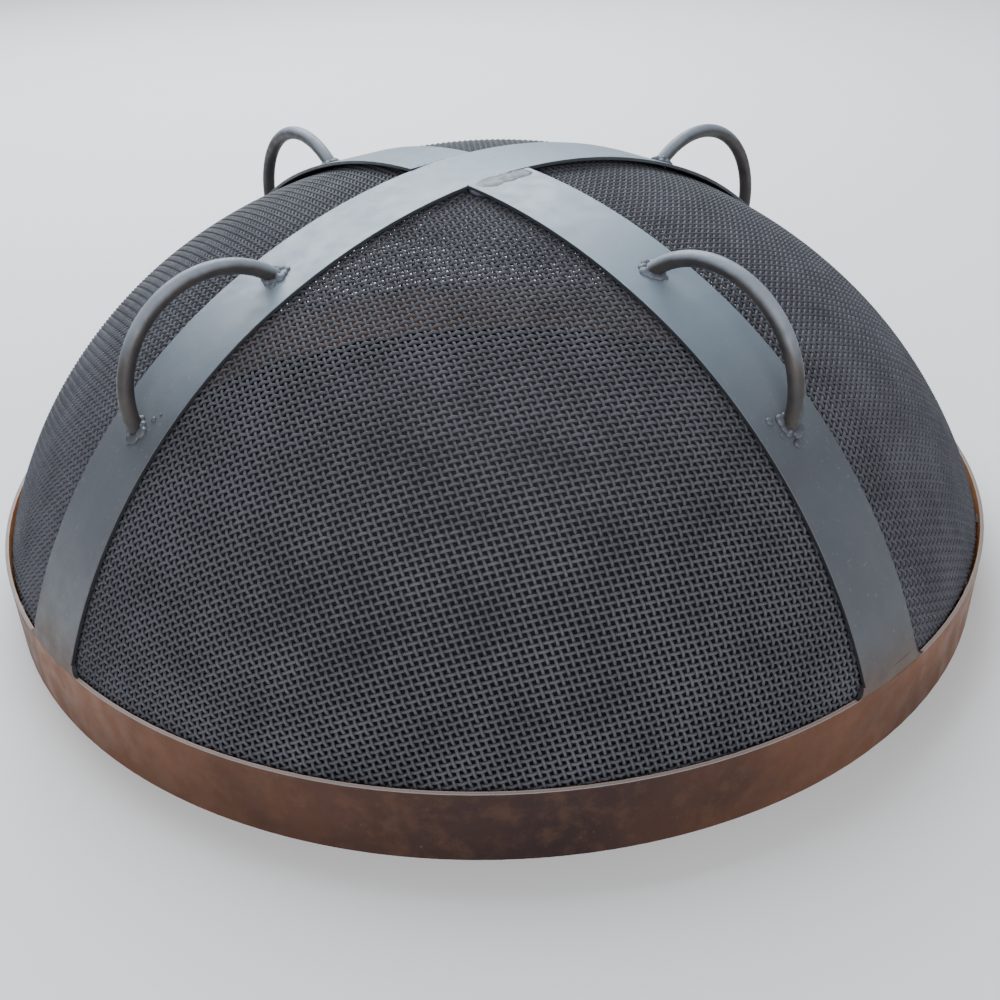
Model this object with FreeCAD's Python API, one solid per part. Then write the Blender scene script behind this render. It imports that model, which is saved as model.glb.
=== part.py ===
import FreeCAD, Part
import math
import os

# Domed lift-off spark screen for a round fire pit.
# Millimetres, +Z up.  The origin is on the axis, in the plane that the rim stands on.
# The long strap runs along X; the two half straps run along -Y (front) and +Y (back).

# Rim: a flat bar rolled on edge into a hoop.
RIM_OUTER_RADIUS = 457.2
RIM_THICKNESS = 3.2
RIM_HEIGHT = 63.5
RIM_EDGE_ROUND = 0.5

# Straps: flat bar bent over the dome.  The profile is the outer face of a strap.
CROWN_HEIGHT = 352.5
CROWN_RADIUS = 572.0
SHOULDER_START_DEG = 25.0
STRAP_FOOT_RADIUS = 456.9
STRAP_WIDTH = 68.0
STRAP_THICKNESS = 3.2
STRAP_EDGE_ROUND = 0.6
# How far to one side of the axis each leg's line reaches the crown, anticlockwise from above.
# The half straps were fitted by hand, so they lean a little about their feet.
CROWN_OFFSET = {"right": 0.0, "back": 20.0, "left": 0.0, "front": -14.0}
# Extra length on a half strap before its end is cut to the long strap's edge.
HALF_STRAP_SPARE = 4.0

# Mesh: four panels, each two crossing layers of wire, hung a little below the straps.
STRAP_TO_MESH_GAP = 3.5
MESH_WIRE = 2.4
MESH_EDGE_BELOW_RIM_TOP = 7.5
MESH_PANEL_DEG = 90.0
# The leg that each panel starts from, anticlockwise from above, and how much higher it was hung.
MESH_PANELS = {
    "mesh_panel_back_right": ("right", 2.5),
    "mesh_panel_back_left": ("back", 0.0),
    "mesh_panel_front_left": ("left", 0.0),
    "mesh_panel_front_right": ("front", 0.0),
}

# Handles: round bar bent to an arc, standing on the middle of a strap.
HANDLE_BAR_RADIUS = 6.35
HANDLE_SPAN = 160.0
HANDLE_RISE = 59.0
HANDLE_TAIL_DEG = 6.0
# How far down its strap from the crown the upper end of each handle is.
HANDLE_START = {"right": 234.0, "back": 230.0, "left": 222.0, "front": 210.0}
HANDLE_SEARCH_STEP = 0.05

# Welds.
COLLAR_BASE_RADIUS = 10.5
COLLAR_TOP_RADIUS = 7.4
COLLAR_HEIGHT = 4.0
COLLAR_SINK = 1.0
CROWN_BEAD_RADIUS = 6.0
CROWN_BEAD_LENGTH = 62.0
# How far the middle of each crown bead lies below the straps' outer face.
CROWN_BEAD_DEPTH = {"front": 4.6, "back": 5.4}
FOOT_CORNER_RADIUS = 8.0
FOOT_WELD_SECTOR_DEG = 30.0
EDGE_BEAD_RADIUS = 5.0
EDGE_BEAD_LENGTH = 14.0
EDGE_BEAD_COUNT = 16

# Direction of each leg of the cross, as a turn about Z from +X.
LEG_TURN = {"right": 0.0, "back": 90.0, "left": 180.0, "front": 270.0}

ORIGIN = FreeCAD.Vector(0, 0, 0)
X_AXIS = FreeCAD.Vector(1, 0, 0)
Y_AXIS = FreeCAD.Vector(0, 1, 0)
Z_AXIS = FreeCAD.Vector(0, 0, 1)


def in_plane(radius, height):
    """A point in the XZ plane, at a distance from the axis."""
    return FreeCAD.Vector(radius, 0, height)


def slope_direction(angle):
    """The outward direction of a surface that leans this far from level, in radians."""
    return FreeCAD.Vector(math.sin(angle), 0, math.cos(angle))


def dome_shoulder():
    """Centre and radius of the shoulder arc, tangent to the crown arc and ending at the foot."""
    join = CROWN_CENTRE + slope_direction(SHOULDER_START) * CROWN_RADIUS
    reach = in_plane(STRAP_FOOT_RADIUS, RIM_HEIGHT) - join
    radius = -reach.dot(reach) / (2 * reach.dot(slope_direction(SHOULDER_START)))
    return join - slope_direction(SHOULDER_START) * radius, radius


SHOULDER_START = math.radians(SHOULDER_START_DEG)
CROWN_CENTRE = in_plane(0, CROWN_HEIGHT - CROWN_RADIUS)
SHOULDER_CENTRE, SHOULDER_RADIUS = dome_shoulder()


def profile_angle(distance):
    """How far the outer profile leans from level at this distance from the crown."""
    if distance <= CROWN_RADIUS * SHOULDER_START:
        return distance / CROWN_RADIUS
    return SHOULDER_START + (distance - CROWN_RADIUS * SHOULDER_START) / SHOULDER_RADIUS


def profile_point(distance):
    """The point this far from the crown along the outer profile."""
    angle = profile_angle(distance)
    if angle <= SHOULDER_START:
        return CROWN_CENTRE + slope_direction(angle) * CROWN_RADIUS
    return SHOULDER_CENTRE + slope_direction(angle) * SHOULDER_RADIUS


def profile_edges(inset, inner_radius, end_height):
    """Crown and shoulder arcs at an inset, from inner_radius out and down to end_height."""
    crown_r = CROWN_RADIUS - inset
    shoulder_r = SHOULDER_RADIUS - inset
    first_angle = math.asin(inner_radius / crown_r)
    last_angle = math.acos((end_height - SHOULDER_CENTRE.z) / shoulder_r)
    crown_middle_angle = (first_angle + SHOULDER_START) / 2
    middle_angle = (SHOULDER_START + last_angle) / 2
    first = CROWN_CENTRE + slope_direction(first_angle) * crown_r
    crown_middle = CROWN_CENTRE + slope_direction(crown_middle_angle) * crown_r
    join = CROWN_CENTRE + slope_direction(SHOULDER_START) * crown_r
    middle = SHOULDER_CENTRE + slope_direction(middle_angle) * shoulder_r
    last = SHOULDER_CENTRE + slope_direction(last_angle) * shoulder_r
    crown_arc = Part.Arc(first, crown_middle, join).toShape()
    shoulder_arc = Part.Arc(join, middle, last).toShape()
    return [crown_arc, shoulder_arc], first, last


def shell_face(outer_inset, inner_inset, inner_radius, end_height):
    """The cut through a bent sheet that lies between two insets of the profile."""
    outer, outer_first, outer_last = profile_edges(outer_inset, inner_radius, end_height)
    inner, inner_first, inner_last = profile_edges(inner_inset, inner_radius, end_height)
    edges = outer + [Part.makeLine(outer_last, inner_last)]
    edges += inner + [Part.makeLine(inner_first, outer_first)]
    return Part.Face(Part.Wire(Part.__sortEdges__(edges)))


def region_below(half_width, inner_radius=0.0):
    """Everything under the outer face of one leg of a strap, down to the ground."""
    arcs, first, last = profile_edges(0.0, inner_radius, RIM_HEIGHT)
    low_last = in_plane(last.x, 0)
    low_first = in_plane(first.x, 0)
    edges = arcs + [Part.makeLine(last, low_last), Part.makeLine(low_last, low_first)]
    edges.append(Part.makeLine(low_first, first))
    face = Part.Face(Part.Wire(Part.__sortEdges__(edges)))
    face.translate(Y_AXIS * -half_width)
    return face.extrude(Y_AXIS * 2 * half_width)


def turned(shape, leg):
    """A copy of a shape made on the +X leg, turned to another leg."""
    copy = shape.copy()
    copy.rotate(ORIGIN, Z_AXIS, LEG_TURN[leg])
    return copy


def leaned(shape, leg):
    """A copy of a shape made on the +X leg, swung about the foot to follow that leg's line."""
    copy = shape.copy()
    lean = math.degrees(math.asin(CROWN_OFFSET[leg] / STRAP_FOOT_RADIUS))
    copy.rotate(in_plane(STRAP_FOOT_RADIUS, 0), Z_AXIS, -lean)
    return copy


def one_solid(shape):
    """The largest solid of a cut result."""
    return max(shape.Solids, key=lambda solid: solid.Volume)


def rim_band():
    """The hoop that the screen stands on."""
    outer = Part.makeCylinder(RIM_OUTER_RADIUS, RIM_HEIGHT)
    hole = Part.makeCylinder(RIM_OUTER_RADIUS - RIM_THICKNESS, RIM_HEIGHT)
    band = outer.cut(hole)
    rims = [edge for edge in band.Edges if isinstance(edge.Curve, Part.Circle)]
    return band.makeFillet(RIM_EDGE_ROUND, rims)


def rounded_rectangle(width, height, radius):
    """A face in the YZ plane about the origin, its corners rounded."""
    edges = []
    for turn in range(4):
        across, up = (width / 2, height / 2) if turn % 2 == 0 else (height / 2, width / 2)
        middle = radius * (1 - math.sin(math.radians(45)))
        side = Part.makeLine(
            FreeCAD.Vector(0, across, radius - up), FreeCAD.Vector(0, across, up - radius)
        )
        corner = Part.Arc(
            FreeCAD.Vector(0, across, up - radius),
            FreeCAD.Vector(0, across - middle, up - middle),
            FreeCAD.Vector(0, across - radius, up),
        ).toShape()
        for edge in (side, corner):
            edge.rotate(ORIGIN, X_AXIS, 90.0 * turn)
            edges.append(edge)
    return Part.Face(Part.Wire(Part.__sortEdges__(edges)))


def strap_section(angle_deg):
    """A cut across a strap on the crown arc, this far round from the crown."""
    section = rounded_rectangle(STRAP_WIDTH, STRAP_THICKNESS, STRAP_EDGE_ROUND)
    section.translate(Z_AXIS * (CROWN_HEIGHT - STRAP_THICKNESS / 2))
    section.rotate(CROWN_CENTRE, Y_AXIS, angle_deg)
    return section


def strap_shoulder():
    """The lower part of a strap on the +X leg, from the crown arc to its foot."""
    foot_height = RIM_HEIGHT + FOOT_CORNER_RADIUS
    foot_angle = math.degrees(math.acos((foot_height - SHOULDER_CENTRE.z) / SHOULDER_RADIUS))
    section = strap_section(SHOULDER_START_DEG)
    return section.revolve(SHOULDER_CENTRE, Y_AXIS, foot_angle - SHOULDER_START_DEG)


def strap_long():
    """The unbroken strap, foot to foot over the crown."""
    section = strap_section(-SHOULDER_START_DEG)
    top = section.revolve(CROWN_CENTRE, Y_AXIS, 2 * SHOULDER_START_DEG)
    shoulder = strap_shoulder()
    return one_solid(top.fuse([shoulder, turned(shoulder, "left")]))


def long_strap_slab():
    """The space that the long strap takes up at the crown, seen from a half strap's leg."""
    corner = FreeCAD.Vector(-STRAP_WIDTH / 2, -RIM_OUTER_RADIUS, 0)
    return Part.makeBox(STRAP_WIDTH, 2 * RIM_OUTER_RADIUS, 2 * CROWN_HEIGHT, corner)


def strap_half(leg):
    """A strap that ends against the edge of the long one."""
    start = STRAP_WIDTH / 2 - HALF_STRAP_SPARE
    first_angle = math.degrees(math.asin(start / CROWN_RADIUS))
    section = strap_section(first_angle)
    top = section.revolve(CROWN_CENTRE, Y_AXIS, SHOULDER_START_DEG - first_angle)
    strap = leaned(one_solid(top.fuse(strap_shoulder())), leg)
    return turned(one_solid(strap.cut(long_strap_slab())), leg)


def handle_ends(leg):
    """Distances along the strap of a handle's two ends."""
    start = HANDLE_START[leg]
    upper = profile_point(start)
    low = start + HANDLE_SPAN
    while (profile_point(low) - upper).Length < HANDLE_SPAN:
        low += HANDLE_SEARCH_STEP
    return start, low


def handle_bar(leg):
    """The whole bent bar on the +X leg, its tails running into the strap."""
    start, low = handle_ends(leg)
    upper = profile_point(start)
    lower = profile_point(low)
    along = (lower - upper).normalize()
    outwards = FreeCAD.Vector(-along.z, 0, along.x)
    half = HANDLE_SPAN / 2
    bend_radius = (half ** 2 + HANDLE_RISE ** 2) / (2 * HANDLE_RISE)
    centre = (upper + lower) * 0.5 + outwards * (HANDLE_RISE - bend_radius)
    half_turn = math.degrees(math.atan2(half, bend_radius - HANDLE_RISE)) + HANDLE_TAIL_DEG
    section = Part.makeCircle(HANDLE_BAR_RADIUS, centre + outwards * bend_radius, along)
    disc = Part.Face(Part.Wire([section]))
    disc.rotate(centre, Y_AXIS, -half_turn)
    return disc.revolve(centre, Y_AXIS, 2 * half_turn)


def handle(leg):
    """A handle, its ends shaped to the strap."""
    bar = handle_bar(leg).cut(region_below(STRAP_WIDTH))
    return turned(leaned(one_solid(bar), leg), leg)


def handle_weld(leg, distance):
    """The weld collar round one end of a handle."""
    lean = profile_angle(distance)
    normal = slope_direction(lean)
    base = profile_point(distance) - normal * COLLAR_SINK
    height = COLLAR_HEIGHT + COLLAR_SINK
    collar = Part.makeCone(COLLAR_BASE_RADIUS, COLLAR_TOP_RADIUS, height, base, normal)
    collar = collar.cut(region_below(STRAP_WIDTH)).cut(handle_bar(leg))
    return turned(leaned(one_solid(collar), leg), leg)


def crown_weld(leg):
    """The bead where a half strap meets the long strap's edge."""
    joint = STRAP_WIDTH / 2
    top = profile_point(joint)
    first = CROWN_OFFSET[leg] * (1 - joint / STRAP_FOOT_RADIUS) - CROWN_BEAD_LENGTH / 2
    centre = FreeCAD.Vector(joint, first, top.z - CROWN_BEAD_DEPTH[leg])
    bead = Part.makeCylinder(CROWN_BEAD_RADIUS, CROWN_BEAD_LENGTH, centre, Y_AXIS)
    half = leaned(region_below(STRAP_WIDTH / 2, joint - HALF_STRAP_SPARE), leg)
    right = region_below(STRAP_WIDTH / 2)
    long_strap = right.fuse(turned(right, "left"))
    long_strap.rotate(ORIGIN, Z_AXIS, LEG_TURN["back"])
    return turned(one_solid(bead.cut(half).cut(long_strap)), leg)


def foot_outline():
    """The weld at a strap's foot seen along X: strap wide on top, flaring to the rim."""
    half = STRAP_WIDTH / 2
    wide = half + FOOT_CORNER_RADIUS
    low = RIM_HEIGHT - RIM_EDGE_ROUND
    top = RIM_HEIGHT + FOOT_CORNER_RADIUS
    bend = FOOT_CORNER_RADIUS * (1 - math.sin(math.radians(45)))

    def at(y, z):
        return FreeCAD.Vector(0, y, z)

    edges = [
        Part.makeLine(at(-half, top), at(half, top)),
        Part.Arc(at(half, top), at(half + bend, RIM_HEIGHT + bend), at(wide, RIM_HEIGHT)).toShape(),
        Part.makeLine(at(wide, RIM_HEIGHT), at(wide, low)),
        Part.makeLine(at(wide, low), at(-wide, low)),
        Part.makeLine(at(-wide, low), at(-wide, RIM_HEIGHT)),
        Part.Arc(at(-wide, RIM_HEIGHT), at(-half - bend, RIM_HEIGHT + bend), at(-half, top)).toShape(),
    ]
    return Part.Face(Part.Wire(edges))


def foot_weld(leg, rim):
    """The weld that joins a strap's foot to the rim, ground flush."""
    block = foot_outline().extrude(X_AXIS * RIM_OUTER_RADIUS)
    skin = shell_face(0.0, STRAP_THICKNESS, STRAP_WIDTH, RIM_HEIGHT - RIM_EDGE_ROUND)
    skin = skin.revolve(ORIGIN, Z_AXIS, FOOT_WELD_SECTOR_DEG)
    skin.rotate(ORIGIN, Z_AXIS, -FOOT_WELD_SECTOR_DEG / 2)
    weld = block.common(skin).cut(rim).cut(leaned(strap_shoulder(), leg))
    return turned(one_solid(weld), leg)


def mesh_panel(leg, rise):
    """One panel of mesh, from the middle of one strap to the middle of the next."""
    outer = STRAP_THICKNESS + STRAP_TO_MESH_GAP
    inner = outer + 2 * MESH_WIRE
    edge_height = RIM_HEIGHT - MESH_EDGE_BELOW_RIM_TOP
    face = shell_face(outer, inner, 0.0, edge_height - rise)
    face.translate(Z_AXIS * rise)
    return turned(face.revolve(ORIGIN, Z_AXIS, MESH_PANEL_DEG), leg)


def mesh_edge_welds():
    """Short beads that hold the mesh's edge to the inside of the rim."""
    inner_radius = RIM_OUTER_RADIUS - RIM_THICKNESS
    edge_height = RIM_HEIGHT - MESH_EDGE_BELOW_RIM_TOP
    inside = Part.makeCylinder(inner_radius, edge_height)
    corner = FreeCAD.Vector(inner_radius, -EDGE_BEAD_LENGTH / 2, edge_height)
    bead = Part.makeCylinder(EDGE_BEAD_RADIUS, EDGE_BEAD_LENGTH, corner, Y_AXIS)
    bead = one_solid(bead.common(inside))
    step = 360.0 / EDGE_BEAD_COUNT
    beads = []
    for index in range(EDGE_BEAD_COUNT):
        copy = bead.copy()
        copy.rotate(ORIGIN, Z_AXIS, step * (index + 0.5))
        beads.append(copy)
    return Part.makeCompound(beads)


def build():
    """Every node of the screen, by name."""
    rim = rim_band()
    nodes = {
        "rim_band": rim,
        "strap_long": strap_long(),
        "strap_half_front": strap_half("front"),
        "strap_half_back": strap_half("back"),
        "crown_weld_front": crown_weld("front"),
        "crown_weld_back": crown_weld("back"),
        "mesh_edge_welds": mesh_edge_welds(),
    }
    for name, (leg, rise) in MESH_PANELS.items():
        nodes[name] = mesh_panel(leg, rise)
    for leg in LEG_TURN:
        start, low = handle_ends(leg)
        nodes["handle_" + leg] = handle(leg)
        nodes["handle_weld_" + leg + "_upper"] = handle_weld(leg, start)
        nodes["handle_weld_" + leg + "_lower"] = handle_weld(leg, low)
        nodes["foot_weld_" + leg] = foot_weld(leg, rim)
    return nodes


def main():
    os.makedirs("parts", exist_ok=True)
    for name, shape in build().items():
        shape.exportStep("parts/" + name + ".step")


main()
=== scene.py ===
"""Looks for the domed spark screen: woven wire, painted straps and rim, bent handles and welds.

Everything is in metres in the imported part's own frame: +Z up, the unbroken strap along X.
"""

import math
import random

import bmesh
import bpy
import numpy as np
from mathutils import Matrix, Vector, noise


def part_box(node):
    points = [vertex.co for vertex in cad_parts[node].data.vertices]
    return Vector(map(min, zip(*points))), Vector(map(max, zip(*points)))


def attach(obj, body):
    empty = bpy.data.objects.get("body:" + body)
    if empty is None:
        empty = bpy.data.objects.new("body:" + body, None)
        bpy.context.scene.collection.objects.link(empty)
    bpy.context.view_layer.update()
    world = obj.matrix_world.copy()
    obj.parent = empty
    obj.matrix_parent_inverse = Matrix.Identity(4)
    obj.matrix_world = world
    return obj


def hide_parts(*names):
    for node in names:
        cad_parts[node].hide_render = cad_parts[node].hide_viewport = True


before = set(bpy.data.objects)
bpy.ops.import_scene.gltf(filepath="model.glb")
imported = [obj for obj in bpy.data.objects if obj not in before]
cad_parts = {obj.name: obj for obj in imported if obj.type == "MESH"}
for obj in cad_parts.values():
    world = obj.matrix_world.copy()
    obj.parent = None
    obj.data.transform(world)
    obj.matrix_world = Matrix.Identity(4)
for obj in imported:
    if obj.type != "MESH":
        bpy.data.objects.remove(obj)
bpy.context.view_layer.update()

# The dome's profile, as in the CAD source: a crown arc and a shoulder arc tangent to it.
CROWN_RADIUS = 0.572
SHOULDER_START = math.radians(25.0)
STRAP_FOOT_RADIUS = 0.4569
STRAP_WIDTH = 0.068
RIM_THICKNESS = 0.0032
# How far to one side of the axis each leg's line reaches the crown, as in the CAD source.
CROWN_OFFSET = {"right": 0.0, "back": 0.020, "left": 0.0, "front": -0.014}
RIM_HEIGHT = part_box("rim_band")[1].z
RIM_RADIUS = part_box("rim_band")[1].x
CROWN_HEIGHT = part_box("strap_long")[1].z

# The ball that stands for the dome when cloth is laid on it, and when a face's direction is judged.
DOME_MIDDLE = (0.0, 0.0, -0.157)

# Woven wire.
WIRE_RADIUS = 0.0013
WIRE_PITCH = 0.00545
WIRE_SIDES = 6
WIRES_EACH_WAY = 90
WEAVE_INSET = 0.0091
WEAVE_CENTRE_DISTANCE = 0.33
WEAVE_BALL_CENTRE = np.array(DOME_MIDDLE)
MESH_EDGE_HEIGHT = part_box("mesh_panel_front_left")[0].z + WIRE_RADIUS
# Distances from the crown where a panel's swelling starts, is greatest and ends.
BULGE_DISTANCE = (0.0, 0.22, 0.60)
# How much nearer to the straps the mesh lies under them than in the middle of a panel.
STRAP_LIFT = 0.0028
# Each panel's middle as a turn about Z, how its two sets of wires slant, in degrees from level,
# and how far it swells out between the straps, in metres.
PANELS = {
    "mesh_panel_front_left": (-135.0, 16.0, -67.0, 0.0010),
    "mesh_panel_front_right": (-45.0, -3.0, 86.0, -0.0040),
    "mesh_panel_back_right": (45.0, 5.0, -82.0, 0.0065),
    "mesh_panel_back_left": (135.0, -9.0, 74.0, 0.0005),
}

# Handles.
HANDLE_RADIUS = 0.00635
HANDLE_SPAN = 0.160
HANDLE_END_STEP = 0.00005
# How far down its strap from the crown each handle starts.
HANDLE_START = {"right": 0.234, "back": 0.230, "left": 0.222, "front": 0.210}
# Each leg's direction as a turn about Z, in degrees.
LEG_TURN = {"right": 0.0, "back": 90.0, "left": 180.0, "front": -90.0}

# Weld metal. A pair in brackets is the range that a dab's own value is drawn from.
WELD_VOXEL = 0.0006
WELD_SMOOTHING = 8
WELD_ROUGHNESS = 0.00016
WELD_COARSE, WELD_FINE = 300.0, 800.0
COLLAR_DABS = 8
COLLAR_SIZE = (0.0034, 0.0052)
COLLAR_FLAT = (0.55, 0.8)
COLLAR_GAP = (0.0006, 0.0024)
COLLAR_LIFT = (0.0000, 0.0008)
TOP_DAB_SHARE = 0.4
TOP_DAB_SIZE = (0.0020, 0.0028)
TOP_DAB_LIFT = (0.0022, 0.0036)
SPATTER_FLAT = 0.65
# The half-width of each crown bead and how far it stands above its half strap.
CROWN_BEADS = {
    "front": {"size": 0.0150, "proud": 0.0015},
    "back": {"size": 0.0050, "proud": 0.0002},
}
CROWN_DABS = 10
CROWN_BEAD_FLAT = 0.38
CROWN_BEAD_REACH = 0.45
CROWN_BEAD_ENDS = 1.7
CROWN_BEAD_START, CROWN_BEAD_TAPER = 1.1, 0.3
CROWN_DAB_SIZE = (0.75, 1.0)
CROWN_DAB_PROUD = (0.5, 1.0)
CROWN_DAB_STRAY = 0.0016
# Drops of spatter by a handle's weld: how far down the strap, how far sideways, and how big.
SPATTER = {
    ("front", "lower"): ((-0.010, -0.016, 0.0034), (0.014, -0.004, 0.0036), (0.004, -0.013, 0.0022)),
    ("front", "upper"): ((0.011, 0.004, 0.0028),),
    ("left", "lower"): ((-0.014, 0.012, 0.0026), (-0.020, 0.016, 0.0014), (0.008, 0.006, 0.0034)),
    ("left", "upper"): ((-0.010, 0.004, 0.0034), (0.009, 0.009, 0.0030)),
    ("right", "lower"): ((0.012, -0.009, 0.0026),),
    ("back", "upper"): ((0.010, 0.007, 0.0024),),
}

# Where the paints change: the rim's side away from the sky light, where shade is painted, and heights
# where painted light and shade or a painted brown reflection turn to another.
SHADED_SIDE = (-0.616, -0.788, 0.0)
STRAP_LIGHT_HEIGHTS = (0.215, 0.368)
STRAP_BROWN_REFLECTION_HEIGHTS = (0.072, 0.116)
HANDLE_LIGHT_HEIGHTS = (0.235, 0.315)
WELD_LIGHT_HEIGHTS = (0.22, 0.34)

# Camera.
CAMERA_TURN = math.radians(-40.0)
CAMERA_ELEVATION = math.radians(32.33)
CAMERA_DISTANCE = 1.2376
CAMERA_ROLL = math.radians(-1.69)
CAMERA_LENS = 43.96
CAMERA_SHIFT = (0.0063, 0.0095)
SENSOR_WIDTH = 36.0

# Stage: the floor, a dark sheet inside the rim as painted shade where the pit would be, and the light.
FLOOR_SIZE = 12.0
FLOOR_COLOUR = (0.80, 0.80, 0.80)
STAGE_ROUGHNESS = 0.9
PIT_SHADE_COLOUR = (0.012, 0.012, 0.013)
PIT_SHADE_GAP = 0.006
PIT_SHADE_HEIGHT = 0.0006
PIT_SHADE_SIDES = 96
WORLD_COLOUR = (0.90, 0.95, 1.0)
WORLD_STRENGTH = 0.52
LIGHT_AIM = (0, 0, 0.15)
# Each light's place, size, power in watts and colour.
LIGHTS = {
    "sky": ((0.9, 2.0, 2.5), (3.2, 2.4), 215, (0.88, 0.95, 1.0)),
    "front": ((-1.9, -2.3, 1.5), (2.4, 1.8), 78, (1.0, 0.98, 0.97)),
}


# ---------------------------------------------------------------- dome shape

def dome_arcs():
    """Centre height, shoulder centre (radius, height) and shoulder radius of the strap's outer face."""
    lean = np.array([math.sin(SHOULDER_START), math.cos(SHOULDER_START)])
    crown_centre = np.array([0.0, CROWN_HEIGHT - CROWN_RADIUS])
    join = crown_centre + lean * CROWN_RADIUS
    reach = np.array([STRAP_FOOT_RADIUS, RIM_HEIGHT]) - join
    shoulder_radius = -(reach @ reach) / (2 * reach @ lean)
    return crown_centre, join - lean * shoulder_radius, shoulder_radius


CROWN_CENTRE, SHOULDER_CENTRE, SHOULDER_RADIUS = dome_arcs()


def profile_point(distance, inset=0.0):
    """(radius, height) and lean from level, this far down the outer profile from the crown."""
    angle = distance / CROWN_RADIUS
    centre, radius = CROWN_CENTRE, CROWN_RADIUS
    if angle > SHOULDER_START:
        angle = SHOULDER_START + (distance - CROWN_RADIUS * SHOULDER_START) / SHOULDER_RADIUS
        centre, radius = SHOULDER_CENTRE, SHOULDER_RADIUS
    point = centre + (radius - inset) * np.array([math.sin(angle), math.cos(angle)])
    return point, angle


def swell(azimuth, distance, middle_deg, most):
    """How far a panel stands out between its straps, at an azimuth and a distance from the crown."""
    start, peak, end = BULGE_DISTANCE
    off = np.degrees(azimuth) - middle_deg
    off = (off + 180.0) % 360.0 - 180.0
    across = np.cos(np.radians(np.clip(off * 2.0, -90.0, 90.0)))
    rising = np.clip((distance - start) / (peak - start), 0.0, 1.0)
    falling = np.clip((end - distance) / (end - peak), 0.0, 1.0)
    bulge = most * across * np.sin(rising * math.pi / 2) * np.sin(falling * math.pi / 2)
    return bulge + STRAP_LIFT * (1 - across)


def onto_dome(points, inset):
    """Points moved along their meridian onto the dome at an inset, and the dome's normals there."""
    azimuth = np.arctan2(points[:, 1], points[:, 0])
    radius = np.hypot(points[:, 0], points[:, 1])
    crown_lean = np.arctan2(radius, points[:, 2] - CROWN_CENTRE[1])
    shoulder_lean = np.arctan2(radius - SHOULDER_CENTRE[0], points[:, 2] - SHOULDER_CENTRE[1])
    on_crown = crown_lean <= SHOULDER_START
    lean = np.where(on_crown, crown_lean, shoulder_lean)
    arc = np.where(on_crown, CROWN_RADIUS, SHOULDER_RADIUS) - inset
    out = np.where(on_crown, 0.0, SHOULDER_CENTRE[0]) + arc * np.sin(lean)
    height = np.where(on_crown, CROWN_CENTRE[1], SHOULDER_CENTRE[1]) + arc * np.cos(lean)
    normals = np.stack(
        [np.sin(lean) * np.cos(azimuth), np.sin(lean) * np.sin(azimuth), np.cos(lean)], 1
    )
    surface = np.stack([out * np.cos(azimuth), out * np.sin(azimuth), height], 1)
    return surface, normals


# ---------------------------------------------------------------- mesh tools

def mesh_object(name, verts, quads, caps=()):
    """An object from arrays of points, four-sided faces and end caps."""
    mesh = bpy.data.meshes.new(name)
    sizes = [4] * len(quads) + [len(cap) for cap in caps]
    corners = [np.asarray(quads, np.int32).ravel()] + [np.asarray(cap, np.int32) for cap in caps]
    loops = np.concatenate(corners)
    mesh.vertices.add(len(verts))
    mesh.vertices.foreach_set("co", np.asarray(verts, np.float32).ravel())
    mesh.loops.add(len(loops))
    mesh.loops.foreach_set("vertex_index", loops)
    mesh.polygons.add(len(sizes))
    starts = np.concatenate([[0], np.cumsum(sizes)[:-1]]).astype(np.int32)
    mesh.polygons.foreach_set("loop_start", starts)
    mesh.update(calc_edges=True)
    mesh.validate()
    mesh.shade_smooth()
    piece = bpy.data.objects.new(name, mesh)
    bpy.context.scene.collection.objects.link(piece)
    return piece


def tube_rings(path, normals, radius, sides):
    """Rings of points round a path, and the faces that join them."""
    tangent = np.gradient(path, axis=0)
    tangent /= np.linalg.norm(tangent, axis=1)[:, None]
    side = np.cross(tangent, normals)
    side /= np.linalg.norm(side, axis=1)[:, None]
    up = np.cross(side, tangent)
    turn = 2 * math.pi * np.arange(sides) / sides
    upward, sideways = np.cos(turn)[None, :, None], np.sin(turn)[None, :, None]
    ring = upward * up[:, None, :] + sideways * side[:, None, :]
    verts = path[:, None, :] + ring * radius
    count = len(path)
    base = np.arange(count - 1)[:, None] * sides
    here = np.arange(sides)[None, :]
    after = (here + 1) % sides
    quads = np.stack(
        [base + here, base + sides + here, base + sides + after, base + after], -1
    ).reshape(-1, 4)
    return verts.reshape(-1, 3), quads


# ---------------------------------------------------------------- woven wire

def panel_map(middle_deg, bulge):
    """A near-stretchless map from flat cloth to the dome round a panel's middle."""
    turn = math.radians(middle_deg)
    (radius, height), _ = profile_point(WEAVE_CENTRE_DISTANCE, WEAVE_INSET)
    point = np.array([radius * math.cos(turn), radius * math.sin(turn), height])
    outwards = point - WEAVE_BALL_CENTRE
    reach = np.linalg.norm(outwards)
    outwards /= reach
    level = np.array([-math.sin(turn), math.cos(turn), 0.0])
    upwards = np.cross(outwards, level)

    def to_dome(flat):
        """Points on the dome, and its normals there, for points on the flat cloth."""
        distance = np.hypot(flat[:, 0], flat[:, 1])
        angle = distance / reach
        aim = flat / np.maximum(distance, 1e-9)[:, None]
        direction = (
            np.cos(angle)[:, None] * outwards
            + np.sin(angle)[:, None] * (aim[:, :1] * level + aim[:, 1:] * upwards)
        )
        surface, normals = onto_dome(WEAVE_BALL_CENTRE + direction * reach, WEAVE_INSET)
        azimuth = np.arctan2(surface[:, 1], surface[:, 0])
        from_crown = np.arccos(normals[:, 2]) * reach
        stand = swell(azimuth, from_crown, middle_deg, bulge)
        return surface + normals * stand[:, None], normals

    return to_dome


def inside_panel(points, middle_deg):
    """Which points lie in a panel: within its quarter turn and above the mesh's edge."""
    turn = np.degrees(np.arctan2(points[:, 1], points[:, 0]))
    off = (turn - middle_deg + 180.0) % 360.0 - 180.0
    return (np.abs(off) < 45.0) & (points[:, 2] > MESH_EDGE_HEIGHT)


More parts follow.
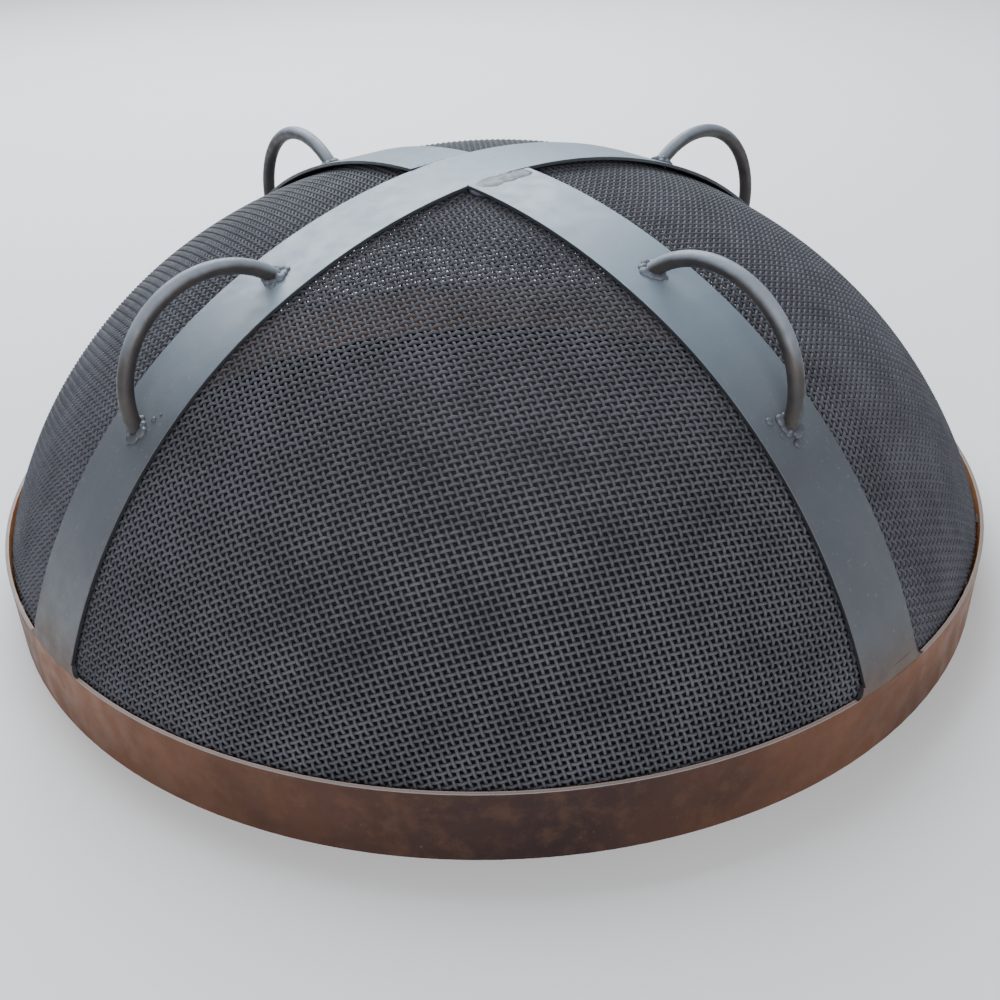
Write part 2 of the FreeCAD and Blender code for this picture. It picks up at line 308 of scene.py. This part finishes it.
def wire_set(middle_deg, bulge, slant_deg, other_deg, over_first):
    """Paths of one set of parallel wires, weaving over and under the other set."""
    to_dome = panel_map(middle_deg, bulge)
    slant, other = math.radians(slant_deg), math.radians(other_deg)
    along = np.array([math.cos(slant), math.sin(slant)])
    across = np.array([-math.sin(slant), math.cos(slant)])
    other_across = np.array([-math.sin(other), math.cos(other)])
    crossings = np.arange(-WIRES_EACH_WAY * 2, WIRES_EACH_WAY * 2 + 1) / 2
    wires = []
    for row in range(-WIRES_EACH_WAY, WIRES_EACH_WAY + 1):
        start = row * WIRE_PITCH * across
        steps = (crossings * WIRE_PITCH - start @ other_across) / (along @ other_across)
        flat = start + steps[:, None] * along
        surface, normals = to_dome(flat)
        lift = np.where(crossings % 1 == 0, np.where((crossings + row) % 2 == 0, 1.0, -1.0), 0.0)
        lift = lift if over_first else -lift
        path = surface + normals * (lift * WIRE_RADIUS)[:, None]
        keep = np.flatnonzero(inside_panel(surface, middle_deg))
        for run in np.split(keep, np.flatnonzero(np.diff(keep) > 1) + 1):
            if len(run) > 2:
                wires.append((path[run], normals[run]))
    return wires


def woven_piece(name, wires):
    """One object holding a set of wires as closed tubes."""
    all_verts, all_quads, caps = [], [], []
    offset = 0
    for path, normals in wires:
        verts, quads = tube_rings(path, normals, WIRE_RADIUS, WIRE_SIDES)
        all_verts.append(verts)
        all_quads.append(quads + offset)
        last = offset + len(verts) - WIRE_SIDES
        caps.append(np.arange(offset, offset + WIRE_SIDES))
        caps.append(np.arange(last + WIRE_SIDES - 1, last - 1, -1))
        offset += len(verts)
    return mesh_object(name, np.concatenate(all_verts), np.concatenate(all_quads), caps)


def build_mesh_panels(wire_material):
    """The four woven panels, each as a set of warp wires and a set of weft wires."""
    for node, (middle, first, second, bulge) in PANELS.items():
        sets = (("warp", first, second, True), ("weft", second, first, False))
        for label, slant, other, over_first in sets:
            wires = wire_set(middle, bulge, slant, other, over_first)
            piece = woven_piece(node + "_" + label, wires)
            piece.data.materials.append(wire_material)
            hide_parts(node)
            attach(piece, "root")


# ---------------------------------------------------------------- welds

def strap_frame(leg, distance):
    """A point on a strap's outer face, and the strap's outward, downward and sideways directions."""
    (radius, height), lean = profile_point(distance)
    turn = math.radians(LEG_TURN[leg])
    foot = Vector((math.cos(turn), math.sin(turn), 0)) * STRAP_FOOT_RADIUS
    turn -= math.asin(CROWN_OFFSET[leg] / STRAP_FOOT_RADIUS)
    away = Vector((math.cos(turn), math.sin(turn), 0))
    up = Vector((0, 0, 1))
    point = foot - away * (STRAP_FOOT_RADIUS - radius) + up * height
    out = away * math.sin(lean) + up * math.cos(lean)
    down = away * math.cos(lean) - up * math.sin(lean)
    return point, out, down, out.cross(down)


def handle_ends(leg):
    """Distances down the strap of a handle's two ends."""
    start = HANDLE_START[leg]
    upper = profile_point(start)[0]
    low = start + HANDLE_SPAN
    while np.linalg.norm(profile_point(low)[0] - upper) < HANDLE_SPAN:
        low += HANDLE_END_STEP
    return {"upper": start, "lower": low}


def lumps_object(name, lumps):
    """One closed skin round overlapping lumps: each a centre, a radius, a direction and a flatness."""
    form = bmesh.new()
    for centre, radius, out, flat in lumps:
        turn = out.to_track_quat("Z", "Y").to_matrix().to_4x4()
        squash = Matrix.Diagonal((radius, radius, radius * flat, 1))
        place = Matrix.Translation(centre) @ turn @ squash
        bmesh.ops.create_icosphere(form, subdivisions=3, radius=1.0, matrix=place)
    rough = bpy.data.meshes.new(name + "_lumps")
    form.to_mesh(rough)
    form.free()
    holder = bpy.data.objects.new(name + "_lumps", rough)
    bpy.context.scene.collection.objects.link(holder)
    remesh = holder.modifiers.new("skin", "REMESH")
    remesh.mode = "VOXEL"
    remesh.voxel_size = WELD_VOXEL
    smooth = holder.modifiers.new("smooth", "SMOOTH")
    smooth.iterations = WELD_SMOOTHING
    shape = holder.evaluated_get(bpy.context.evaluated_depsgraph_get())
    mesh = bpy.data.meshes.new_from_object(shape)
    bpy.data.objects.remove(holder)
    bpy.data.meshes.remove(rough)
    for vertex in mesh.vertices:
        push = noise.noise(vertex.co * WELD_COARSE) + 0.5 * noise.noise(vertex.co * WELD_FINE)
        vertex.co += vertex.normal * push * WELD_ROUGHNESS
    mesh.name = name
    mesh.shade_smooth()
    piece = bpy.data.objects.new(name, mesh)
    bpy.context.scene.collection.objects.link(piece)
    return piece


def collar_lumps(leg, distance, chance):
    """Weld metal run round a handle's end in short overlapping dabs."""
    point, out, down, side = strap_frame(leg, distance)
    lumps = []
    for index in range(COLLAR_DABS):
        turn = 2 * math.pi * (index + chance.uniform(-0.25, 0.25)) / COLLAR_DABS
        away = down * math.cos(turn) + side * math.sin(turn)
        ring = HANDLE_RADIUS + chance.uniform(*COLLAR_GAP)
        size = chance.uniform(*COLLAR_SIZE)
        centre = point + away * ring + out * chance.uniform(*COLLAR_LIFT)
        lumps.append((centre, size, out, chance.uniform(*COLLAR_FLAT)))
        if chance.random() < TOP_DAB_SHARE:
            top = point + away * HANDLE_RADIUS + out * chance.uniform(*TOP_DAB_LIFT)
            lumps.append((top, chance.uniform(*TOP_DAB_SIZE), out, 1.0))
    return lumps


def spatter_lumps(leg, distance, spots):
    """Drops of weld metal stuck to the strap: each so far down, so far sideways, and so big."""
    point, out, down, side = strap_frame(leg, distance)
    lumps = []
    for below, beside, size in spots:
        centre = point + down * below + side * beside
        lumps.append((centre, size, out, SPATTER_FLAT))
    return lumps


def crown_lumps(leg, chance):
    """The bead across a half strap's end, laid in dabs that are larger at one end."""
    style = CROWN_BEADS[leg]
    point, out, down, side = strap_frame(leg, STRAP_WIDTH / 2 + style["size"] * CROWN_BEAD_REACH)
    lumps = []
    for index in range(CROWN_DABS):
        share = index / (CROWN_DABS - 1)
        across = (share - 0.5) * (STRAP_WIDTH - style["size"] * CROWN_BEAD_ENDS)
        taper = CROWN_BEAD_START - CROWN_BEAD_TAPER * share
        size = style["size"] * chance.uniform(*CROWN_DAB_SIZE) * taper
        sink = size * CROWN_BEAD_FLAT - style["proud"] * chance.uniform(*CROWN_DAB_PROUD)
        stray = chance.uniform(-CROWN_DAB_STRAY, CROWN_DAB_STRAY)
        centre = point + side * across + down * stray - out * sink
        lumps.append((centre, size, out, CROWN_BEAD_FLAT))
    return lumps


def weld_piece(name, lumps, node, material):
    """A skin of weld metal that stands for a CAD bead."""
    piece = lumps_object(name, lumps)
    piece.data.materials.append(material)
    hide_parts(node)
    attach(piece, "root")


def build_welds(material):
    """Every handle and crown weld, in the same random order each run."""
    chance = random.Random(7)
    for leg in LEG_TURN:
        for end, distance in handle_ends(leg).items():
            lumps = collar_lumps(leg, distance, chance)
            lumps += spatter_lumps(leg, distance, SPATTER.get((leg, end), ()))
            node = "handle_weld_" + leg + "_" + end
            weld_piece(node.replace("weld", "bead"), lumps, node, material)
    for leg in CROWN_BEADS:
        weld_piece("crown_bead_" + leg, crown_lumps(leg, chance), "crown_weld_" + leg, material)


# ---------------------------------------------------------------- materials

class Nodes:
    """A short way to write a material's nodes: each call adds one and gives back its output."""

    def __init__(self, name):
        """Start a material, in object coordinates."""
        self.material = bpy.data.materials.new(name)
        self.material.use_nodes = True
        self.tree = self.material.node_tree
        self.shader = self.tree.nodes["Principled BSDF"]
        self.coords = self.add("ShaderNodeTexCoord").outputs["Object"]

    def add(self, kind, **settings):
        """A new node of this kind."""
        node = self.tree.nodes.new(kind)
        for key, value in settings.items():
            setattr(node, key, value)
        return node

    def link(self, source, target):
        """Join an output to an input."""
        self.tree.links.new(source, target)

    def noise(self, scale, detail=4.0, rough=0.55):
        """Cloudy noise from 0 to 1."""
        node = self.add("ShaderNodeTexNoise")
        node.inputs["Scale"].default_value = scale
        node.inputs["Detail"].default_value = detail
        node.inputs["Roughness"].default_value = rough
        self.link(self.coords, node.inputs["Vector"])
        return node.outputs["Fac"]

    def ramp(self, source, stops):
        """Colours that follow a value, from (position, colour) stops."""
        node = self.add("ShaderNodeValToRGB")
        elements = node.color_ramp.elements
        while len(elements) < len(stops):
            elements.new(0.5)
        for element, (position, colour) in zip(elements, stops):
            element.position = position
            element.color = (*colour, 1.0)
        self.link(source, node.inputs["Fac"])
        return node.outputs["Color"]

    def spread(self, source, low, high, out_low=0.0, out_high=1.0):
        """A smooth step from one value to another as the source goes from low to high."""
        node = self.add("ShaderNodeMapRange", interpolation_type="SMOOTHSTEP")
        for key, value in (
            ("From Min", low), ("From Max", high), ("To Min", out_low), ("To Max", out_high)
        ):
            node.inputs[key].default_value = value
        self.link(source, node.inputs["Value"])
        return node.outputs["Result"]

    def mix(self, factor, first, second):
        """One colour laid over another by a factor."""
        node = self.add("ShaderNodeMix", data_type="RGBA")
        factor_socket, first_socket, second_socket = node.inputs[0], node.inputs[6], node.inputs[7]
        for socket, value in ((factor_socket, factor), (first_socket, first), (second_socket, second)):
            if hasattr(value, "is_linked"):
                self.link(value, socket)
            elif isinstance(value, tuple):
                socket.default_value = (*value, 1.0)
            else:
                socket.default_value = value
        return node.outputs[2]

    def math(self, operation, first, second):
        """Arithmetic on outputs or numbers."""
        node = self.add("ShaderNodeMath", operation=operation)
        for socket, value in zip(node.inputs, (first, second)):
            if hasattr(value, "is_linked"):
                self.link(value, socket)
            else:
                socket.default_value = value
        return node.outputs[0]

    def axis(self, index):
        """The x, y or z of the place, by index."""
        node = self.add("ShaderNodeSeparateXYZ")
        self.link(self.coords, node.inputs["Vector"])
        return node.outputs[index]

    def vector(self, operation, first, second=None):
        """Vector arithmetic on outputs or tuples."""
        node = self.add("ShaderNodeVectorMath", operation=operation)
        for socket, value in zip(node.inputs, (first, second)):
            if hasattr(value, "is_linked"):
                self.link(value, socket)
            elif value is not None:
                socket.default_value = value
        return node.outputs["Value" if operation in ("DOT_PRODUCT", "LENGTH") else "Vector"]

    def facing(self, centre):
        """How squarely the surface faces away from a point: 1 outwards, 0 edge on, -1 inwards."""
        outwards = self.vector("NORMALIZE", self.vector("SUBTRACT", self.coords, centre))
        normal = self.add("ShaderNodeNewGeometry").outputs["Normal"]
        return self.vector("DOT_PRODUCT", normal, outwards)

    def bump(self, height, distance, strength=1.0, under=None):
        """A normal with relief in it, over another normal if one is given."""
        node = self.add("ShaderNodeBump")
        node.inputs["Distance"].default_value = distance
        node.inputs["Strength"].default_value = strength
        self.link(height, node.inputs["Height"])
        if under is not None:
            self.link(under, node.inputs["Normal"])
        return node.outputs["Normal"]

    def finish(self, colour, roughness, normal, specular=0.5):
        """Wire the results into the shader, and give back the material."""
        self.link(colour, self.shader.inputs["Base Color"])
        self.link(roughness, self.shader.inputs["Roughness"])
        self.link(normal, self.shader.inputs["Normal"])
        self.shader.inputs["Specular IOR Level"].default_value = specular
        return self.material


def strap_paint():
    """Satin blue-grey paint, with painted light high up, painted shade low down and on the cut edges,
    and a painted brown reflection at the feet.
    """
    n = Nodes("strap_paint")
    # Painted light and shade: lighter blue-grey high up where the sky lights the straps, much darker
    # lower down.
    upper = n.ramp(n.noise(9.0, 5.0), [(0.3, (0.190, 0.246, 0.300)), (0.7, (0.226, 0.290, 0.350))])
    lower = n.ramp(n.noise(12.0, 5.0), [(0.3, (0.060, 0.066, 0.078)), (0.7, (0.079, 0.086, 0.100))])
    drift = n.math("MULTIPLY", n.noise(26.0, 4.0), 0.016)
    height = n.math("ADD", n.axis(2), drift)
    paint = n.mix(n.spread(height, *STRAP_LIGHT_HEIGHTS), lower, upper)
    speck = n.noise(260.0, 2.0)
    paint = n.mix(n.spread(speck, 0.62, 0.74, 0.0, 0.16), paint, (0.26, 0.29, 0.33))
    # Painted reflection of a brown ground, just above the feet.
    brown = n.ramp(n.noise(40.0, 4.0), [(0.35, (0.046, 0.029, 0.022)), (0.65, (0.080, 0.050, 0.037))])
    paint = n.mix(n.spread(height, *STRAP_BROWN_REFLECTION_HEIGHTS, 0.95, 0.0), paint, brown)
    # Painted shade: the cut edges, which face sideways, turn nearly black.
    edge = n.spread(n.facing(DOME_MIDDLE), 0.45, 0.80, 0.92, 0.0)
    paint = n.mix(edge, paint, (0.014, 0.015, 0.018))
    roughness = n.spread(n.noise(60.0, 4.0), 0.3, 0.7, 0.36, 0.50)
    normal = n.bump(n.noise(900.0, 3.0), 0.00012, 0.6)
    normal = n.bump(n.noise(70.0, 3.0), 0.0006, 0.35, normal)
    return n.finish(paint, roughness, normal)


def rim_paint():
    """The rim's dark paint, with a painted brown reflection of the ground, painted shade on the side
    away from the light, rust inside painted bright as painted light, and a painted highlight on its top
    edge.
    """
    n = Nodes("rim_paint")
    # Dark paint tinted brown: a painted reflection of a brown ground.
    paint = n.ramp(n.noise(6.0, 5.0), [
        (0.32, (0.058, 0.025, 0.015)), (0.50, (0.112, 0.047, 0.025)), (0.70, (0.190, 0.082, 0.042))
    ])
    # Painted shade on the side away from the sky light.
    outwards = n.vector("NORMALIZE", n.vector("MULTIPLY", n.coords, (1, 1, 0)))
    shaded = n.vector("DOT_PRODUCT", outwards, SHADED_SIDE)
    shaded = n.math("ADD", shaded, n.math("MULTIPLY", n.noise(9.0, 4.0), 0.10))
    paint = n.mix(n.spread(shaded, 0.92, 1.07, 0.0, 0.90), paint, (0.018, 0.010, 0.011))
    fine = n.noise(55.0, 5.0, 0.65)
    paint = n.mix(n.spread(fine, 0.45, 0.70, 0.0, 0.25), paint, (0.130, 0.062, 0.036))
    scuff = n.spread(n.noise(210.0, 5.0, 0.65), 0.64, 0.76, 0.0, 0.30)
    paint = n.mix(scuff, paint, (0.19, 0.13, 0.10))
    across = n.vector("LENGTH", n.vector("MULTIPLY", n.coords, (1, 1, 0)))
    middle = RIM_RADIUS - RIM_THICKNESS / 2
    inner = n.spread(across, middle - 0.0009, middle - 0.0003, 1.0, 0.0)
    # Rust on the inner face, painted bright orange as painted light on the far inside.
    rust_and_light = n.ramp(n.noise(30.0, 5.0), [(0.3, (0.72, 0.270, 0.100)), (0.7, (0.92, 0.440, 0.210))])
    paint = n.mix(inner, paint, rust_and_light)
    # Painted highlight: a lighter line along the top edge, away from the straps.
    top = n.spread(n.axis(2), RIM_HEIGHT - 0.0008, RIM_HEIGHT - 0.0002, 0.0, 0.8)
    beside_x, beside_y = (n.math("ABSOLUTE", n.axis(index), 0.0) for index in (0, 1))
    nearest_leg = n.math("MINIMUM", beside_x, beside_y)
    top = n.math("MULTIPLY", top, n.spread(nearest_leg, STRAP_WIDTH / 2, STRAP_WIDTH / 2 + 0.012))
    paint = n.mix(top, paint, (0.30, 0.27, 0.26))
    roughness = n.spread(n.noise(50.0, 4.0), 0.3, 0.7, 0.42, 0.62)
    normal = n.bump(n.noise(800.0, 3.0), 0.00012, 0.6)
    normal = n.bump(n.noise(45.0, 3.0), 0.0008, 0.35, normal)
    return n.finish(paint, roughness, normal, specular=0.2)


def wire_paint():
    """Dark grey paint on the woven wire, with small lighter flecks."""
    n = Nodes("wire_paint")
    paint = n.ramp(n.noise(22.0, 5.0), [(0.3, (0.050, 0.051, 0.062)), (0.7, (0.082, 0.083, 0.099))])
    fleck = n.spread(n.noise(420.0, 3.0), 0.55, 0.75, 0.0, 0.6)
    paint = n.mix(fleck, paint, (0.125, 0.124, 0.134))
    roughness = n.spread(n.noise(120.0, 3.0), 0.3, 0.7, 0.55, 0.72)
    normal = n.bump(n.noise(1500.0, 2.0), 0.00008, 0.5)
    return n.finish(paint, roughness, normal, specular=0.25)


def handle_paint():
    """Blue-grey paint with painted light on top and painted shade, dark brown, underneath and lower
    down, over slightly rough bar.
    """
    n = Nodes("handle_paint")
    # Painted light on top and painted shade underneath and lower down, by the face's direction and
    # height.
    lit_top = n.ramp(n.noise(30.0, 5.0), [(0.3, (0.155, 0.178, 0.214)), (0.7, (0.235, 0.262, 0.302))])
    shaded = n.ramp(n.noise(42.0, 5.0), [(0.35, (0.017, 0.016, 0.018)), (0.65, (0.040, 0.032, 0.029))])
    upwards = n.vector("DOT_PRODUCT", n.add("ShaderNodeNewGeometry").outputs["Normal"], (0, 0, 1))
    upwards = n.math("ADD", upwards, n.math("MULTIPLY", n.noise(60.0, 4.0), 0.35))
    high = n.spread(n.axis(2), *HANDLE_LIGHT_HEIGHTS, -0.35, 0.12)
    paint = n.mix(n.spread(n.math("ADD", upwards, high), 0.28, 1.02), shaded, lit_top)
    roughness = n.spread(n.noise(140.0, 4.0), 0.3, 0.7, 0.40, 0.60)
    normal = n.bump(n.noise(420.0, 4.0, 0.6), 0.0003, 0.8)
    return n.finish(paint, roughness, normal)


def weld_paint():
    """Painted weld metal: dull on the lumps, with painted light higher up, painted shade in the
    creases, and brown flecks of slag.
    """
    n = Nodes("weld_paint")
    # Painted light and shade: lighter higher up, darker lower down.
    low = n.ramp(n.noise(90.0, 5.0), [(0.3, (0.038, 0.042, 0.052)), (0.7, (0.078, 0.085, 0.102))])
    high = n.ramp(n.noise(80.0, 5.0), [(0.3, (0.058, 0.068, 0.090)), (0.7, (0.108, 0.124, 0.156))])
    paint = n.mix(n.spread(n.axis(2), *WELD_LIGHT_HEIGHTS), low, high)
    slag = n.spread(n.noise(210.0, 4.0), 0.60, 0.70, 0.0, 0.60)
    paint = n.mix(slag, paint, (0.090, 0.066, 0.062))
    # Painted shade in the creases, where the surface is least pointy.
    crease = n.add("ShaderNodeNewGeometry").outputs["Pointiness"]
    paint = n.mix(n.spread(crease, 0.45, 0.50, 0.90, 0.0), paint, (0.012, 0.011, 0.013))
    roughness = n.spread(n.noise(200.0, 3.0), 0.3, 0.7, 0.36, 0.55)
    normal = n.bump(n.noise(500.0, 3.0), 0.0003, 0.6)
    return n.finish(paint, roughness, normal)


# ---------------------------------------------------------------- stage

def stage_sheet(name, verts, colour):
    """A flat sheet facing up, in one dull colour, for the object to stand on."""
    mesh = bpy.data.meshes.new(name)
    mesh.from_pydata(verts, [], [tuple(range(len(verts)))])
    sheet = bpy.data.objects.new(name, mesh)
    bpy.context.scene.collection.objects.link(sheet)
    paint = bpy.data.materials.new(name)
    paint.use_nodes = True
    shader = paint.node_tree.nodes["Principled BSDF"]
    shader.inputs["Base Color"].default_value = (*colour, 1)
    shader.inputs["Roughness"].default_value = STAGE_ROUGHNESS
    mesh.materials.append(paint)
    return sheet


def build_stage():
    """A pale floor, and a dark round sheet inside the rim, painted shade where the pit would be."""
    half = FLOOR_SIZE / 2
    corners = [(-half, -half, 0), (half, -half, 0), (half, half, 0), (-half, half, 0)]
    floor = stage_sheet("floor", corners, FLOOR_COLOUR)
    turns = 2 * math.pi * np.arange(PIT_SHADE_SIDES) / PIT_SHADE_SIDES
    radius = RIM_RADIUS - PIT_SHADE_GAP
    circle = [(radius * math.cos(turn), radius * math.sin(turn), PIT_SHADE_HEIGHT) for turn in turns]
    pit = stage_sheet("pit_shade", circle, PIT_SHADE_COLOUR)


def area_light(name, place, size, power, colour):
    """A soft rectangular light aimed at the middle of the screen."""
    data = bpy.data.lights.new(name, "AREA")
    data.shape = "RECTANGLE"
    data.size, data.size_y = size
    data.energy = power
    data.color = colour
    light = bpy.data.objects.new(name, data)
    light.location = place
    aim = Vector(LIGHT_AIM) - Vector(place)
    light.rotation_euler = aim.to_track_quat("-Z", "Y").to_euler()
    bpy.context.scene.collection.objects.link(light)


def build_light():
    """An even pale sky with two soft lights."""
    world = bpy.data.worlds.new("studio")
    world.use_nodes = True
    background = world.node_tree.nodes["Background"]
    background.inputs["Color"].default_value = (*WORLD_COLOUR, 1)
    background.inputs["Strength"].default_value = WORLD_STRENGTH
    bpy.context.scene.world = world
    for name, (place, size, power, colour) in LIGHTS.items():
        area_light(name, place, size, power, colour)


def build_camera():
    """The camera at the photograph's angle, aimed at the origin and rolled a little."""
    data = bpy.data.cameras.new("camera")
    data.lens = CAMERA_LENS
    data.sensor_width = SENSOR_WIDTH
    data.shift_x, data.shift_y = CAMERA_SHIFT
    camera = bpy.data.objects.new("camera", data)
    place = CAMERA_DISTANCE * Vector((
        math.cos(CAMERA_ELEVATION) * math.sin(CAMERA_TURN),
        -math.cos(CAMERA_ELEVATION) * math.cos(CAMERA_TURN),
        math.sin(CAMERA_ELEVATION),
    ))
    look = -place.normalized()
    level = look.cross(Vector((0, 0, 1))).normalized()
    upright = level.cross(look)
    right = math.cos(CAMERA_ROLL) * level + math.sin(CAMERA_ROLL) * upright
    up = right.cross(look)
    basis = Matrix((right, up, -look)).transposed().to_4x4()
    camera.matrix_world = Matrix.Translation(place) @ basis
    bpy.context.scene.collection.objects.link(camera)
    bpy.context.scene.camera = camera


# ---------------------------------------------------------------- the screen

def repaint(node, material):
    """Give a CAD node a better material."""
    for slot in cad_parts[node].material_slots:
        slot.material = material


build_stage()
build_light()
build_camera()
STRAP_PAINT, RIM_PAINT = strap_paint(), rim_paint()
HANDLE_PAINT, WELD_PAINT = handle_paint(), weld_paint()
build_welds(WELD_PAINT)
build_mesh_panels(wire_paint())
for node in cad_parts:
    if node == "rim_band":
        repaint(node, RIM_PAINT)
    elif node.startswith("strap") or node.startswith("foot"):
        repaint(node, STRAP_PAINT)
    elif node.startswith("handle_weld") or node.startswith("crown") or node == "mesh_edge_welds":
        repaint(node, WELD_PAINT)
    elif node.startswith("handle"):
        repaint(node, HANDLE_PAINT)
